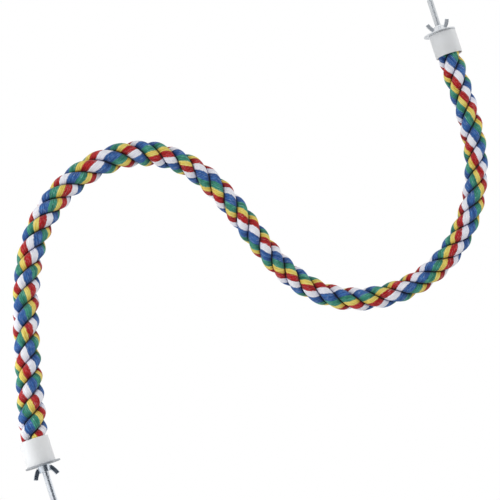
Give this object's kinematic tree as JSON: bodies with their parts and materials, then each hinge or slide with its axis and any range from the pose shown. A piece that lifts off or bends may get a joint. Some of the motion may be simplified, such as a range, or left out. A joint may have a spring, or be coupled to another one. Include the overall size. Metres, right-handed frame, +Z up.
{
  "type": "bird perch",
  "caption": "Bendable laid-rope bird perch with a wire core; each end has a white cap with a threaded stud, washer and wing nut that clamp it to the bars of a cage.",
  "frame": {"origin": "on the lower stud's axis, at the middle of its free thread", "axes": "+Z up, +X from the lower end of the perch towards the upper one, +Y to the back"},
  "size_m": [0.3754, 0.1363, 0.3933],
  "materials": {
    "cotton_blue": "cotton yarn, matt",
    "cotton_red": "cotton yarn, matt",
    "cotton_yellow": "cotton yarn, matt",
    "core_steel": "soft annealed wire, dull",
    "cap_plastic": "moulded white plastic, satin",
    "zinc_plated": "bright zinc plating",
    "glue": "set glue"
  },
  "bodies": {
    "perch": {"strand_1": "cotton_blue", "strand_2": "cotton_red", "strand_3": "cotton_yellow", "core_wire": "core_steel", "lower_cap": "cap_plastic", "upper_cap": "cap_plastic", "lower_bolt": "zinc_plated", "upper_bolt": "zinc_plated", "lower_glue_plug": "glue", "upper_glue_plug": "glue"},
    "lower_washer": {"lower_washer": "zinc_plated"},
    "lower_wing_nut": {"lower_wing_nut": "zinc_plated"},
    "upper_washer": {"upper_washer": "zinc_plated"},
    "upper_wing_nut": {"upper_wing_nut": "zinc_plated"}
  },
  "joints": [
    {"name": "lower_washer_slide", "type": "slide", "parent": "perch", "child": "lower_washer", "axis": [0.3224, -0.1392, -0.9363], "range_m": [0, 0.016]},
    {"name": "lower_nut_turn", "type": "hinge", "parent": "lower_washer", "child": "lower_wing_nut", "pos_m": [0, 0, 0], "axis": [0.3224, -0.1392, -0.9363], "range_deg": [0, 7200]},
    {"name": "upper_washer_slide", "type": "slide", "parent": "perch", "child": "upper_washer", "axis": [-0.2913, 0.0872, 0.9527], "range_m": [0, 0.016]},
    {"name": "upper_nut_turn", "type": "hinge", "parent": "upper_washer", "child": "upper_wing_nut", "pos_m": [0.29847, 0.11376, 0.36934], "axis": [-0.2913, 0.0872, 0.9527], "range_deg": [0, 7200]}
  ],
  "couplings": [
    {"joint": "lower_nut_turn", "follows": "lower_washer_slide", "rad_per_m": 7854},
    {"joint": "upper_nut_turn", "follows": "upper_washer_slide", "rad_per_m": 7854}
  ]
}
